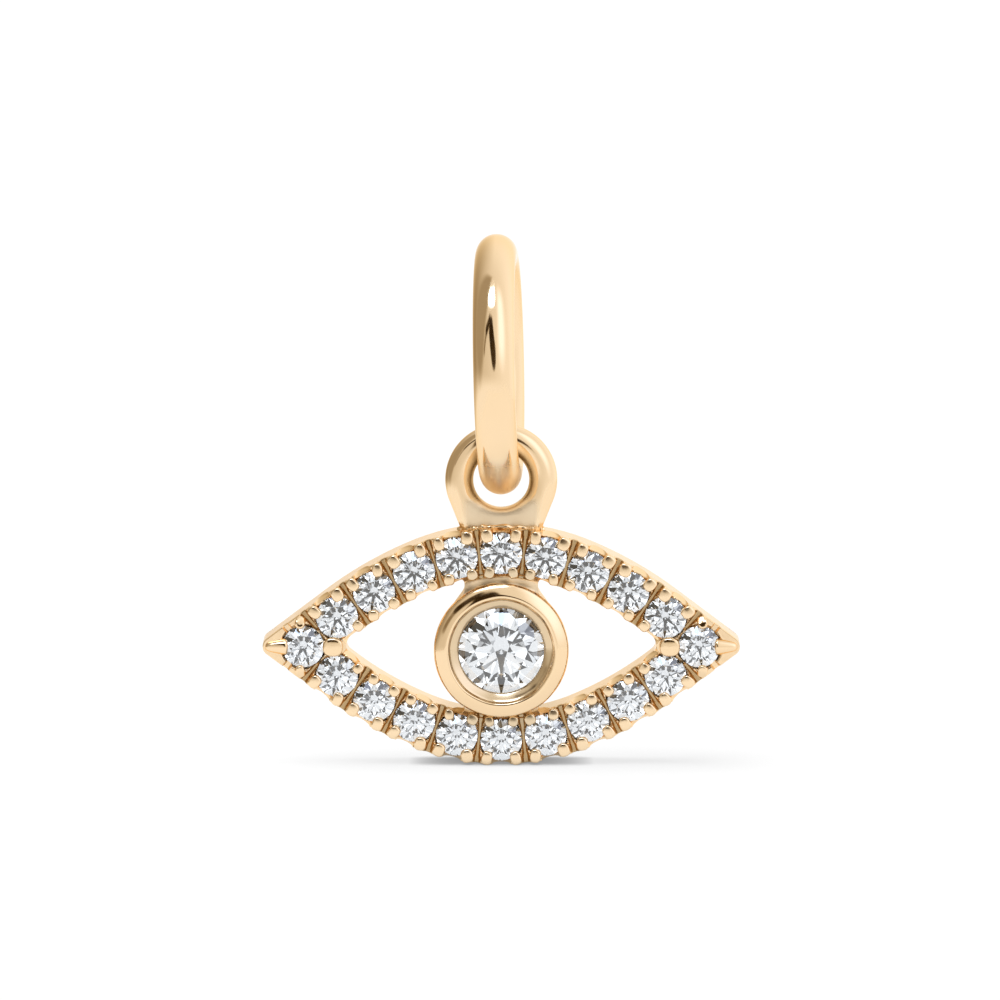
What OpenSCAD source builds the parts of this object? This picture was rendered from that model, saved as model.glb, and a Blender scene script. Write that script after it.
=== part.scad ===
// Evil eye pendant. Two curved lids set with small brilliants meet in two points,
// round a larger brilliant in a bezel, and the eye hangs by its loop on a plain ring.
// Sizes are millimetres. X runs across the eye, -Y is its front and Z is up. The origin
// is where a chain lies in the bail ring: the inside of the ring, at its top.

/* [Eye outline] */
// Distance between the middles of the two corner stones
eye_l = 9.42; // [9:0.02:12]
// Height between the middles of the top stone and the bottom stone
eye_h = 4.46; // [4.3:0.02:5.6]
// Radius of the brow, the rounder middle of each lid
brow_r = 5; // [4:0.05:6]
// Half of the angle that the brow spans
brow_angle = 22.5; // [10:0.5:24]
// Depth of the band from front to back
band_t = 1.5; // [1.2:0.05:2]
// Metal outside the stones on each side of the band
band_margin = 0.09; // [0.06:0.01:0.14]
// Chamfer along the back edges of the band
back_chamfer = 0.12; // [0.05:0.01:0.2]
// Radius of the rounded corner at each end of the opening
opening_r = 0.25; // [0.15:0.01:0.4]
// Length of the metal between a corner stone's seat and the outer point
point_l = 0.44; // [0.38:0.01:0.9]
// Radius of each outer point
tip_r = 0.22; // [0.1:0.01:0.3]

/* [Pave stones] */
// Number of spaces between the stones along a lid. The stones take what length is left.
spaces = 10; // [8:1:14]
// Width of the space between two pave stones
stone_space = 0.067; // [0.04:0.001:0.15]
// Space between any stone and its seat
seat_gap = 0.025; // [0.015:0.005:0.04]
// Diameter of the light hole behind each pave stone
light_hole_d = 0.5; // [0.3:0.02:0.7]
// Depth of the pave girdles under the front of the band
girdle_sink = 0.03; // [0.02:0.01:0.08]
// Turn of each pave stone about its own axis, from one stone to the next
stone_turn = 17; // [0:1:45]

/* [Brilliant cut, as shares of a stone's diameter] */
// Width of the table
table_share = 0.57; // [0.5:0.01:0.65]
// Height of the crown
crown_share = 0.15; // [0.1:0.01:0.18]
// Thickness of the girdle
girdle_share = 0.03; // [0.02:0.005:0.05]
// Depth of the pavilion
pavilion_share = 0.43; // [0.4:0.01:0.45]
// Reach of the star facets from the table's edge to the girdle
star_share = 0.5; // [0.4:0.05:0.6]
// Distance from the axis to the tips of the lower girdle facets
lower_tip_share = 0.12; // [0.1:0.01:0.16]

/* [Prongs] */
// Diameter of a prong
prong_d = 0.26; // [0.2:0.01:0.32]
// Height of a prong in front of the band
prong_h = 0.17; // [0.12:0.01:0.25]
// Chamfer round a prong's tip
prong_chamfer = 0.06; // [0.02:0.01:0.08]
// Distance from a stone's edge out to the axis of its prongs
prong_offset = 0.03; // [0:0.01:0.06]
// Angle from straight across the band to a stone's outer prongs
outer_prong_angle = 45; // [35:1:48]
// Angle from straight across the band to a stone's inner prongs
inner_prong_angle = 37; // [30:1:42]
// Width of the groove between two stones
groove_w = 0.17; // [0.1:0.01:0.24]
// Depth of the groove between two stones
groove_depth = 0.16; // [0.1:0.01:0.25]
// Radius of the cut beside each stone in both edges of the band
side_cut_r = 0.22; // [0.12:0.01:0.25]
// Reach of the corner bead over the three stones round it
corner_grip = 0.03; // [0.02:0.01:0.1]
// Reach of the claw at each outer point over the corner stone
claw_grip = 0.09; // [0.04:0.01:0.12]
// Angle from the eye's long axis to the upper and lower prongs of a corner stone
corner_prong_angle = 97; // [90:1:105]

/* [Bezel] */
// Space between the bezel and the lids, if the bezel stood in the middle of the eye
bezel_space = 0.035; // [0:0.005:0.1]
// Thickness of the bezel's wall round the centre stone
bezel_wall = 0.48; // [0.4:0.01:0.52]
// Height of the bezel's rim in front of the centre stone's girdle
rim_h = 0.42; // [0.36:0.01:0.5]
// Width of the thin lip inside the rim
lip_w = 0.17; // [0.12:0.01:0.2]
// Overlap of the lip on the centre stone
lip_overlap = 0.09; // [0.05:0.01:0.12]
// Height of the centre stone's girdle in front of the band
centre_rise = 0.05; // [0:0.01:0.15]
// Distance from the middle of the eye down to the middle of the bezel
bezel_drop = 0.07; // [0:0.01:0.1]
// Step between the back of the band and the back of the bezel
bezel_back_step = 0.1; // [0.05:0.01:0.2]
// Amount that the bezel's wall leans in from its front to its back
bezel_taper = 0.22; // [0.1:0.01:0.3]
// Diameter of the light hole behind the centre stone
centre_hole_d = 1.3; // [1:0.05:1.5]
// Width of the bridges that join the bezel to both lids
bridge_w = 1.85; // [1.4:0.05:2.1]
// Depth of the bridges under the front of the band
bridge_sink = 0.2; // [0.1:0.01:0.4]

/* [Loop] */
// Room that the loop's hole leaves for the bail ring's wire, across the hole
loop_play = 0.35; // [0.1:0.01:0.6]
// Thickness of the loop's round wire
loop_wire_d = 0.67; // [0.5:0.01:0.8]
// Depth that the loop is sunk into the top of the band
loop_sink = 0.23; // [0.15:0.01:0.34]
// Angle under the loop's middle at which its solder neck begins
neck_angle = 22; // [10:1:35]

/* [Bail ring] */
// Outside diameter of the bail ring
bail_d = 6.2; // [5.6:0.1:8]
// Thickness of the bail ring's round wire
bail_wire_d = 0.98; // [0.8:0.02:1.1]
// Turn of the bail ring about the vertical, out of square with the eye
bail_turn = 2.5; // [-8:0.5:8]
// Lean of the bail ring to the side, about the place where the loop hangs on it
bail_lean = 1.3; // [-5:0.1:5]
// Space between the bail ring's wire and the loop that hangs on it
hang_gap = 0.03; // [0.02:0.005:0.06]

/* [Hidden] */
$fn = 48;
// What a cutter runs past the surface that it cuts
past = 0.5;
// What a piece of metal reaches into the one that it is joined to
bite = 0.02;
gold = [0.93, 0.76, 0.52];
diamond = [0.92, 0.95, 0.98, 0.6];

// Rounds to a tenth of a micron, so that pieces that meet are given the same digits
function rounded(x) = round(10000 * x) / 10000;

// Lids: a brow arc with a flatter flank arc on both sides, tangent where they meet
front = band_t / 2;
brow_centre = [0, eye_h / 2 - brow_r];
brow_end = brow_centre + brow_r * [sin(brow_angle), cos(brow_angle)];
flank_chord = [eye_l / 2, 0] - brow_end;
corner_angle = 2 * atan2(-flank_chord.y, flank_chord.x) - brow_angle;
flank_span = corner_angle - brow_angle;
flank_r = rounded(norm(flank_chord) / (2 * sin(flank_span / 2)));
flank_centre = brow_end - flank_r * [sin(brow_angle), cos(brow_angle)];
brow_s = brow_r * brow_angle * PI / 180;
lid_s = 2 * (brow_s + flank_r * flank_span * PI / 180);

// The stones share the lid's length, and the centre stone fills the height between the lids
stone_d = rounded(lid_s / spaces - stone_space);
band_w = stone_d + 2 * band_margin;
tip_l = eye_l + stone_d + 2 * (seat_gap + point_l);
centre_d = eye_h - band_w - 2 * (bezel_space + bezel_wall + seat_gap);
// How far out the flank crosses the eye's long axis when its radius is changed by an offset
function axis_crossing(offset) = flank_centre.x + sqrt(pow(flank_r + offset, 2) - pow(flank_centre.y, 2));
opening_end_x = axis_crossing(-band_w / 2 - opening_r);

// Pave sites, spread evenly along the lids from corner to corner
// Place and heading at length s from the middle of the upper lid, moved outwards by an offset
function lid_angle(s) =
    abs(s) < brow_s ? s / brow_r * 180 / PI
    : sign(s) * (brow_angle + (abs(s) - brow_s) / flank_r * 180 / PI);
function lid_point(s, offset = 0) =
    let (a = lid_angle(s), out = [sin(a), cos(a)])
    abs(s) < brow_s ? brow_centre + (brow_r + offset) * out
    : [sign(s) * flank_centre.x, flank_centre.y] + (flank_r + offset) * out;
// A site is [x, y, turn]. Its own x axis runs along the band and its y axis points outwards.
function lid_site(s) = let (point = lid_point(s)) [point.x, point.y, -lid_angle(s)];
function across(site) = [-site.x, -site.y, site.z + 180];
function stone_s(k) = (k / spaces - 0.5) * lid_s;
lid_sites = [for (k = [1:spaces - 1]) lid_site(stone_s(k))];
stone_sites = concat(
    [[-eye_l / 2, 0, 0]], lid_sites,
    [[eye_l / 2, 0, 180]], [for (site = lid_sites) across(site)]
);
groove_sites = [for (k = [0:spaces - 1]) lid_site(stone_s(k + 0.5))];

// The corner bead stands equally far from the corner stone and the two next to it
corner_x = -eye_l / 2;
next_stone = lid_point(stone_s(1));
corner_bead_x = (next_stone * next_stone - pow(corner_x, 2)) / (2 * (next_stone.x - corner_x));
corner_bead_r = corner_bead_x - corner_x - stone_d / 2 + corner_grip;

// Places in depth and height
girdle_z = front - girdle_sink;
centre_girdle_z = front + centre_rise;
bezel_r = centre_d / 2 + seat_gap + bezel_wall;
prong_foot = girdle_sink + groove_depth;
prong_reach = stone_d / 2 + prong_offset;
loop_hole_d = bail_wire_d + loop_play;
loop_r = (loop_hole_d + loop_wire_d) / 2;
loop_out_r = loop_r + loop_wire_d / 2;
loop_y = (eye_h + band_w) / 2 - loop_sink + loop_out_r;
bail_r = (bail_d - bail_wire_d) / 2;
// The ring's middle hangs under the chain, and the wire that the loop hangs on under that
bail_down = [sin(bail_lean), 0, -cos(bail_lean)];
bail_centre = (bail_r - bail_wire_d / 2) * bail_down;
pivot = bail_centre + bail_r * bail_down;
eye_place = pivot + [0, 0, bail_wire_d / 2 + hang_gap - loop_hole_d / 2 - loop_y];

function two_digits(n) = str(n < 10 ? "0" : "", n);
function stone_name(n) = str("pave_stone_", two_digits(n));

// Stands what lies face up on the bench in its place on the pendant
module hang() {
    translate(eye_place) rotate([90, 0, 0]) children();
}

module at_site(site) {
    translate([site.x, site.y, 0]) rotate([0, 0, site.z]) children();
}

// Both sides of the eye's long axis
module both_lids() {
    children();
    rotate([0, 0, 180]) children();
}

// Corners of a round brilliant, count of them on a circle at one height
function ring_points(count, first, r, z) =
    [for (i = [0:count - 1]) [r * cos(first + i * 360 / count), r * sin(first + i * 360 / count), z]];
// Height over the girdle of a corner at radius r, on a facet that rises to its inner edge
function on_facet(rise, inner, outer, r) = rise * (outer - r * cos(22.5)) / (outer - inner);
// Distance from the axis to the tips of the star facets
function star_r(d) = let (edge = table_share * d / 2 * cos(22.5)) edge + star_share * (d / 2 - edge);

// A round brilliant with its table towards +Z and its girdle on the XY plane
module brilliant(d) {
    r = d / 2;
    half_girdle = girdle_share * d / 2;
    crown = crown_share * d;
    pavilion = pavilion_share * d;
    star_z = half_girdle + on_facet(crown, table_share * r, r, star_r(d));
    lower_z = -half_girdle - on_facet(pavilion, 0, r, lower_tip_share * d);
    points = concat(
        ring_points(8, 0, table_share * r, half_girdle + crown),
        ring_points(8, 22.5, star_r(d), star_z),
        ring_points(16, 0, r, half_girdle),
        ring_points(16, 0, r, -half_girdle),
        ring_points(8, 22.5, lower_tip_share * d, lower_z),
        [[0, 0, -half_girdle - pavilion]]
    );
    // Where each ring of corners starts in the list
    table = 0;
    star = 8;
    top = 16;
    bottom = 32;
    lower = 48;
    culet = 56;
    faces = concat(
        [[for (i = [7:-1:0]) table + i]],
        [for (i = [0:7]) [table + i, table + (i + 1) % 8, star + i]],
        [for (i = [0:7]) [table + i, star + i, top + 2 * i, star + (i + 7) % 8]],
        [for (i = [0:7]) [star + i, top + 2 * i + 1, top + 2 * i]],
        [for (i = [0:7]) [star + i, top + (2 * i + 2) % 16, top + 2 * i + 1]],
        [for (j = [0:15]) [top + j, top + (j + 1) % 16, bottom + (j + 1) % 16, bottom + j]],
        [for (i = [0:7]) [lower + i, bottom + 2 * i, bottom + 2 * i + 1]],
        [for (i = [0:7]) [lower + i, bottom + 2 * i + 1, bottom + (2 * i + 2) % 16]],
        [for (i = [0:7]) [culet, lower + (i + 7) % 8, bottom + 2 * i, lower + i]]
    );
    polyhedron(points = points, faces = faces, convexity = 2);
}

// The space that a stone of diameter d needs, with a light hole through the metal behind it
module seat_cutter(d, hole_d) {
    r = d / 2 + seat_gap;
    half_girdle = girdle_share * d / 2;
    slope = pavilion_share * 2;
    star_z = half_girdle + on_facet(crown_share * d, table_share * d / 2, d / 2, star_r(d));
    rotate_extrude() polygon([
        [0, -2 * band_t],
        [hole_d / 2, -2 * band_t],
        [hole_d / 2, -half_girdle - slope * (r - hole_d / 2)],
        [r, -half_girdle],
        [r, half_girdle + seat_gap],
        [star_r(d) + seat_gap, star_z + seat_gap],
        [table_share * d / 2 + seat_gap, half_girdle + crown_share * d + seat_gap],
        [0, half_girdle + crown_share * d + seat_gap]
    ]);
}

// Cross-section of the band, across it and from back to front
module band_profile() {
    w = band_w / 2;
    polygon([
        [-w, front], [-w, -front + back_chamfer], [-w + back_chamfer, -front],
        [w - back_chamfer, -front], [w, -front + back_chamfer], [w, front]
    ]);
}

// The upper lid, down to the eye's long axis. Each half starts where its brow meets its flank,
// on the same line for both arcs, and the brow runs a little past the middle.
module lid() {
    // The outer edge of the flank reaches the long axis last
    reach = acos(-flank_centre.y / (flank_r + band_w / 2)) + 1;
    intersection() {
        for (side = [0, 1])
            mirror([side, 0, 0]) translate(brow_centre) rotate([0, 0, 90 - brow_angle]) {
                rotate_extrude(angle = brow_angle + 1) translate([brow_r, 0]) band_profile();
                translate([brow_r - flank_r, 0]) mirror([0, 1, 0])
                    rotate_extrude(angle = reach - brow_angle) translate([flank_r, 0]) band_profile();
            }
        translate([-tip_l / 2 + tip_r, 0, -band_t]) cube([tip_l - 2 * tip_r, eye_h, 2 * band_t]);
    }
}

// The left outer point: a round nose with straight edges that run back to both lids
module point() {
    nose = [-tip_l / 2 + tip_r, 0];
    shoulder = lid_point(stone_s(1), band_w / 2 - bite);
    away = shoulder - nose;
    side = atan2(away.y, away.x) + acos(tip_r / norm(away));
    touch = nose + tip_r * [cos(side), sin(side)];
    translate([0, 0, -front + back_chamfer]) linear_extrude(band_t - back_chamfer) {
        polygon([touch, shoulder, [shoulder.x, -shoulder.y], [touch.x, -touch.y]]);
        translate(nose) circle(r = tip_r);
    }
}

// Fills the sharp left corner of the opening, as far as its round end reaches
module corner_web() {
    lean = acos(-flank_centre.y / (flank_r - band_w / 2 - opening_r));
    touch = [-opening_end_x, 0] + (opening_r + bite) * [-sin(lean), cos(lean)];
    translate([0, 0, -front + back_chamfer]) linear_extrude(band_t - back_chamfer)
        polygon([touch, [corner_x, touch.y], [corner_x, -touch.y], [touch.x, -touch.y]]);
}

// A round-bottomed groove across the band, only over its outer half beside a corner
module groove(outer_only) {
    run = band_w / 2 + past + (outer_only ? 0 : band_w / 2 + past);
    r = groove_w / 2;
    translate([0, band_w / 2 + past, front - groove_depth + r]) rotate([90, 0, 0]) {
        cylinder(r = r, h = run);
        translate([-r, 0, 0]) cube([groove_w, past + groove_depth, run]);
    }
}

// Cuts in both edges of the band that bare a stone's girdle between its prongs
module side_cuts() {
    run = side_cut_r + past;
    for (out = [-1, 1])
        translate([0, out * (band_w / 2 - side_cut_r / 2 + run / 2), front]) rotate([90, 0, 0])
            cylinder(r = side_cut_r, h = run, center = true);
}

// The whole rim of the eye, ready for its prongs
module band() {
    difference() {
        both_lids() {
            lid();
            point();
            corner_web();
        }
        both_lids() {
            // The round end bites a little past tangent, so that it leaves no feather edge
            translate([-opening_end_x, 0, -band_t]) cylinder(r = opening_r + bite / 2, h = 2 * band_t);
            for (k = [0:spaces - 1])
                at_site(groove_sites[k]) groove(k == 0 || k == spaces - 1);
            for (site = lid_sites)
                at_site(site) side_cuts();
        }
    }
}

module prong(r) {
    top = prong_foot + prong_h;
    translate([0, 0, front - prong_foot]) rotate_extrude() polygon([
        [0, 0], [r, 0], [r, top - prong_chamfer], [r - prong_chamfer, top], [0, top]
    ]);
}

// Four prongs round each stone of a lid, without the inner one next to a corner bead
module lid_prongs() {
    for (k = [0:spaces - 2], along = [-1, 1], out = [-1, 1]) {
        beside_bead = (k == 0 && along < 0) || (k == spaces - 2 && along > 0);
        angle = out > 0 ? outer_prong_angle : inner_prong_angle;
        if (out > 0 || !beside_bead)
            at_site(lid_sites[k])
                translate(prong_reach * [along * sin(angle), out * cos(angle), 0])
                    prong(prong_d / 2);
    }
}

// Prongs above and below the left corner stone, the bead behind it and the claw at the point
module corner_prongs() {
    for (side = [-1, 1])
        translate([corner_x, 0, 0]) rotate([0, 0, side * corner_prong_angle])
            translate([prong_reach, 0, 0]) prong(prong_d / 2);
    translate([corner_bead_x, 0, 0]) prong(corner_bead_r);
    claw_back = corner_x - stone_d / 2 + claw_grip;
    claw_front = -tip_l / 2 + tip_r / 2;
    claw_l = claw_back - claw_front;
    translate([claw_front, 0, front - prong_foot]) linear_extrude(prong_foot + prong_h - prong_chamfer)
        polygon([[0, tip_r / 3], [claw_l, claw_l / 2], [claw_l, -claw_l / 2], [0, -tip_r / 3]]);
}

// The bezel before its stone's seat is cut: a round rim, a step and a thin lip inside it
module bezel() {
    rim_z = centre_girdle_z + rim_h;
    inner_r = centre_d / 2 - lip_overlap;
    step_r = inner_r + lip_w;
    round_r = (bezel_r - step_r) / 2;
    step_z = rim_z - round_r;
    translate([0, -bezel_drop, 0]) rotate_extrude() polygon(concat(
        [[0, -front + bezel_back_step], [bezel_r - bezel_taper, -front + bezel_back_step]],
        [for (a = [0:15:90]) [bezel_r - round_r * (1 - cos(a)), rim_z - round_r * (1 - sin(a))]],
        [[step_r, step_z], [inner_r, step_z - lip_w / 3]],
        [[inner_r, centre_girdle_z], [0, centre_girdle_z]]
    ));
}

module bridges() {
    bottom = -front + back_chamfer;
    translate([-bridge_w / 2, -eye_h / 2, bottom])
        cube([bridge_w, eye_h, front - bridge_sink - bottom]);
}

// A round wire loop sunk in the top of the band, with a solder neck that runs into it
module loop() {
    translate([0, loop_y, 0]) rotate_extrude() translate([loop_r, 0]) circle(d = loop_wire_d);
    neck_r = loop_out_r - bite;
    neck_t = 0.8 * loop_wire_d;
    waist = neck_r * [cos(neck_angle), -sin(neck_angle)] + [0, loop_y];
    foot_y = eye_h / 2 + band_w / 4;
    foot_x = waist.x - (waist.y - foot_y) * tan(neck_angle);
    difference() {
        translate([0, 0, -neck_t / 2]) linear_extrude(neck_t)
            polygon([waist, [foot_x, foot_y], [-foot_x, foot_y], [-waist.x, waist.y]]);
        translate([0, loop_y, -band_t]) cylinder(r = loop_r, h = 2 * band_t);
    }
}

// All the metal of the eye, soldered into one piece, with a seat for every stone
module eye_frame() {
    color(gold) hang() difference() {
        union() {
            band();
            both_lids() {
                lid_prongs();
                corner_prongs();
            }
            bezel();
            bridges();
            loop();
        }
        for (site = stone_sites)
            at_site(site) translate([0, 0, girdle_z]) seat_cutter(stone_d, light_hole_d);
        translate([0, -bezel_drop, centre_girdle_z]) seat_cutter(centre_d, centre_hole_d);
    }
}

module pave_stone(n) {
    color(diamond) hang() at_site(stone_sites[n - 1]) translate([0, 0, girdle_z])
        rotate([0, 0, n * stone_turn]) brilliant(stone_d);
}

module centre_stone() {
    color(diamond) hang() translate([0, -bezel_drop, centre_girdle_z]) brilliant(centre_d);
}

module bail_ring() {
    color(gold) translate(bail_centre) rotate([0, -bail_lean, 0]) rotate([0, 90, -bail_turn])
        rotate_extrude() translate([bail_r, 0]) circle(d = bail_wire_d);
}

bail_ring();
eye_frame();
centre_stone();
for (n = [1:len(stone_sites)])
    pave_stone(n);
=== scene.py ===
# %% [markdown]
# # An evil eye pendant in gold and diamonds
# The pendant is an eye of two curved lids, set with small brilliants, round a larger
# brilliant in a bezel. The eye hangs by a soldered loop on a plain ring. The solids give
# every place and size, and here the metal is made again as fine, rounded surfaces.

import math

import bmesh
import bpy
import numpy as np
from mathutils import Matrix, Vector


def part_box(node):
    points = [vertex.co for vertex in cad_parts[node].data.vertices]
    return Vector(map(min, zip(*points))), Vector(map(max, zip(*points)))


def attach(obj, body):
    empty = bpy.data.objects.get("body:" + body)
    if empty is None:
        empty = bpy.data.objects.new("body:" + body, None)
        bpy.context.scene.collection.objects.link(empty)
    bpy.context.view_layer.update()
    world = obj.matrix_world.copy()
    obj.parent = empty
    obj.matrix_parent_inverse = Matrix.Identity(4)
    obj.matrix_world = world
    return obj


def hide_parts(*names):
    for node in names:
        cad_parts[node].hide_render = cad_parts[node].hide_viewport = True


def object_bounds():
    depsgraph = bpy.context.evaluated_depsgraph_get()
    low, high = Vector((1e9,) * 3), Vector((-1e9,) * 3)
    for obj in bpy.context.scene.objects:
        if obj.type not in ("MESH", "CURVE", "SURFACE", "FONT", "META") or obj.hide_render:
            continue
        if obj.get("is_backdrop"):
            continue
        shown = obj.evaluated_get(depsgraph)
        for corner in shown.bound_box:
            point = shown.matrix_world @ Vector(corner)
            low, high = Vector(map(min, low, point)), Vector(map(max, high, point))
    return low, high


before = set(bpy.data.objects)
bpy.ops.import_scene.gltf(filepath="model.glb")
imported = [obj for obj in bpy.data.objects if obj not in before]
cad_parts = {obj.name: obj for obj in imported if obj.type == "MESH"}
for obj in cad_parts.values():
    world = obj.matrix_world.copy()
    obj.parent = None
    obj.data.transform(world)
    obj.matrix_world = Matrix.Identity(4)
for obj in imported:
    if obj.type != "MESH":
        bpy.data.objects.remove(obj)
solid_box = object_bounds()
MM = 0.001
print("nodes from the solids:", len(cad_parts))

# %% [markdown]
# ## Reading the sizes
# Every stone is a solid of its own, so its box tells where it sits. From the two corner
# stones come the middle and the length of the eye, and from the top and bottom stones its
# height. The eye's own drawing is flat, with x across, y up and z towards the viewer.

# %% Places and sizes that the frame gives, in millimetres


def box_mm(node):
    """A node's lowest and highest corner in millimetres."""
    low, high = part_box(node)
    return np.array(low) / MM, np.array(high) / MM


def middle(node):
    """Half way between a node's two corners."""
    low, high = box_mm(node)
    return (low + high) / 2


STONES = [f"pave_stone_{n:02d}" for n in range(1, 21)]
CORNERS = (STONES[0], STONES[10])
TOP, BOTTOM = STONES[5], STONES[15]
eye_l = middle(CORNERS[1])[0] - middle(CORNERS[0])[0]
eye_h = middle(TOP)[2] - middle(BOTTOM)[2]
eye_x = (middle(CORNERS[0])[0] + middle(CORNERS[1])[0]) / 2
eye_z = (middle(TOP)[2] + middle(BOTTOM)[2]) / 2
low, high = box_mm("centre_stone")
centre_d = high[0] - low[0]
bezel_y = (low[2] + high[2]) / 2 - eye_z
print(f"eye {eye_l:.2f} x {eye_h:.2f} mm, centre stone {centre_d:.2f} mm")

# %% [markdown]
# ## The outline of the lids
# A lid is a round brow with a flatter flank on both sides. It could be drawn as one free
# curve, but two arcs that share a tangent where they meet keep the solids' own outline. A
# place along the lid is then just an angle on one arc or the other.

# %% The lids' centre line
BROW_R = 5.0
BROW_ANGLE = math.radians(22.5)
BAND_T = 1.5  # from the front of the lids to their back
FRONT = BAND_T / 2
SPACES = 10  # from one corner stone to the other
STONE_SPACE = 0.067
BAND_MARGIN = 0.09  # of gold beside a stone
BACK_CHAMFER = 0.12
OPENING_R = 0.25
POINT_L = 0.44
SEAT_GAP = 0.025
TIP_R = 0.22

brow_c = np.array([0, eye_h / 2 - BROW_R])
brow_end = brow_c + BROW_R * np.array([math.sin(BROW_ANGLE), math.cos(BROW_ANGLE)])
chord = np.array([eye_l / 2, 0]) - brow_end
flank_span = 2 * (math.atan2(-chord[1], chord[0]) - BROW_ANGLE)
flank_r = np.hypot(*chord) / (2 * math.sin(flank_span / 2))
flank_c = brow_end - flank_r * np.array([math.sin(BROW_ANGLE), math.cos(BROW_ANGLE)])
brow_s = BROW_R * BROW_ANGLE
half_lid = brow_s + flank_r * flank_span
stone_d = 2 * half_lid / SPACES - STONE_SPACE
half_w = stone_d / 2 + BAND_MARGIN
tip_x = eye_l / 2 + stone_d / 2 + SEAT_GAP + POINT_L


def heading(s):
    """Angle from the vertical at length s: s over the brow's radius, then over the flank's."""
    flank = BROW_ANGLE + (np.abs(s) - brow_s) / flank_r
    return np.where(np.abs(s) < brow_s, s / BROW_R, np.sign(s) * flank)


def lid_point(s, offset=0.0):
    """The place at length s from the middle of the upper lid, moved outwards by offset."""
    s = np.asarray(s, float)
    a = heading(s)
    on_brow = np.abs(s) < brow_s
    r = np.where(on_brow, BROW_R, flank_r) + offset
    cx = np.where(on_brow, 0, np.sign(s) * flank_c[0])
    cy = np.where(on_brow, brow_c[1], flank_c[1])
    return np.stack([cx + r * np.sin(a), cy + r * np.cos(a)], -1)


stone_s = (np.arange(1, SPACES) / SPACES - 0.5) * 2 * half_lid
groove_s = ((np.arange(SPACES) + 0.5) / SPACES - 0.5) * 2 * half_lid
print(f"a pave stone is {stone_d:.3f} mm and the eye {2 * tip_x:.2f} mm long")

# %% [markdown]
# ## Sites
# A jeweller marks out one site per stone and works from it. A site here is a place and the
# way that the band runs there. The lower lid's sites are the upper lid's, turned half round.

# %% Sites of the stones and of the grooves between them


def sites(s):
    """Rows of x, y and turn, with the turn as minus the heading."""
    return np.column_stack([lid_point(s), -heading(s)])


def half_round(rows):
    """The same rows turned half round the eye's middle: x and y change sign."""
    return rows * [-1, -1, 1] + [0, 0, math.pi]


def to_site(points, site):
    """Places along the band and outwards, seen from a site: moved there, then turned back."""
    c, s = math.cos(site[2]), math.sin(site[2])
    d = points - site[:2]
    return d[..., 0] * c + d[..., 1] * s, d[..., 1] * c - d[..., 0] * s


def from_site(along, out, site):
    """The way back: along and outwards at a site, turned and moved into the drawing."""
    c, s = math.cos(site[2]), math.sin(site[2])
    return np.stack([site[0] + along * c - out * s, site[1] + along * s + out * c], -1)


lid_sites = sites(stone_s)
all_lid_sites = np.concatenate([lid_sites, half_round(lid_sites)])
corner_sites = np.array([[-eye_l / 2, 0, 0], [eye_l / 2, 0, math.pi]])
upper_grooves = sites(groove_s)
groove_sites = np.concatenate([upper_grooves, half_round(upper_grooves)])
OUTER_ONLY = [0, SPACES - 1, SPACES, 2 * SPACES - 1]  # grooves that only cut the outer half
print("stone sites:", len(all_lid_sites) + len(corner_sites))

# %% [markdown]
# ## Making a mesh from a grid
# Every surface below is a grid of points, closed round one way or both. Faces could be
# placed one by one, but on a grid they follow from the counts. The helpers turn a grid into
# faces, stand the flat drawing up in its place, and keep a painted value at each vertex.

# %% Grids to meshes
MERGE = 1e-9  # metres between points that count as one
SMOOTH = 35  # degrees between two faces, up to which their edge looks smooth


def full_turn(count):
    """Angles evenly spaced once round."""
    return np.linspace(0, 2 * np.pi, count, endpoint=False)


def power(x, p):
    """The size of x to the power p, with the sign of x."""
    return np.sign(x) * np.abs(x) ** p


def grid_faces(nu, nv, round_u=True, round_v=True):
    """Quads between neighbours on a grid of nu by nv points, wrapped where it is round."""
    i = np.arange(nu * nv).reshape(nu, nv)
    i = np.concatenate([i, i[:1]]) if round_u else i
    i = np.concatenate([i, i[:, :1]], axis=1) if round_v else i
    return np.stack([i[:-1, :-1], i[1:, :-1], i[1:, 1:], i[:-1, 1:]], -1).reshape(-1, 4)


def hang(points):
    """The eye's drawing stood up: x stays across, y goes up and z comes to the front."""
    x, y, z = np.moveaxis(points, -1, 0)
    return np.stack([x + eye_x, -z, y + eye_z], -1)


def make_mesh(name, points, quads, extra=(), smooth_angle=SMOOTH):
    """A mesh object of points in millimetres, with quads and perhaps a few other faces."""
    mesh = bpy.data.meshes.new(name)
    faces = quads.tolist() + [list(map(int, f)) for f in extra]
    mesh.from_pydata((points.reshape(-1, 3) * MM).tolist(), [], faces)
    tool = bmesh.new()
    tool.from_mesh(mesh)
    bmesh.ops.remove_doubles(tool, verts=tool.verts, dist=MERGE)
    bmesh.ops.recalc_face_normals(tool, faces=tool.faces)
    tool.to_mesh(mesh)
    tool.free()
    mesh.shade_smooth()
    mesh.set_sharp_from_angle(angle=math.radians(smooth_angle))
    piece = bpy.data.objects.new(name, mesh)
    bpy.context.collection.objects.link(piece)
    return piece


print("faces of a closed grid of 3 by 4 points:", len(grid_faces(3, 4)))

# %% A painted value, a smooth step and a finished piece


def paint(piece, name, value_of):
    """Keeps a value from 0 to 1 at each vertex, worked out from its place in the drawing."""
    mesh = piece.data
    points = np.empty(3 * len(mesh.vertices))
    mesh.vertices.foreach_get("co", points)
    x, depth, z = points.reshape(-1, 3).T / MM
    value = value_of(np.stack([x - eye_x, z - eye_z, -depth], -1))
    mark = mesh.attributes.new(name, "FLOAT", "POINT")
    mark.data.foreach_set("value", np.clip(value, 0, 1).astype(np.float32))


def ramp(x, start, end):
    """From 0 at start to 1 at end, with a smooth step between."""
    t = np.clip((x - start) / (end - start), 0, 1)
    return t * t * (3 - 2 * t)


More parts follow.
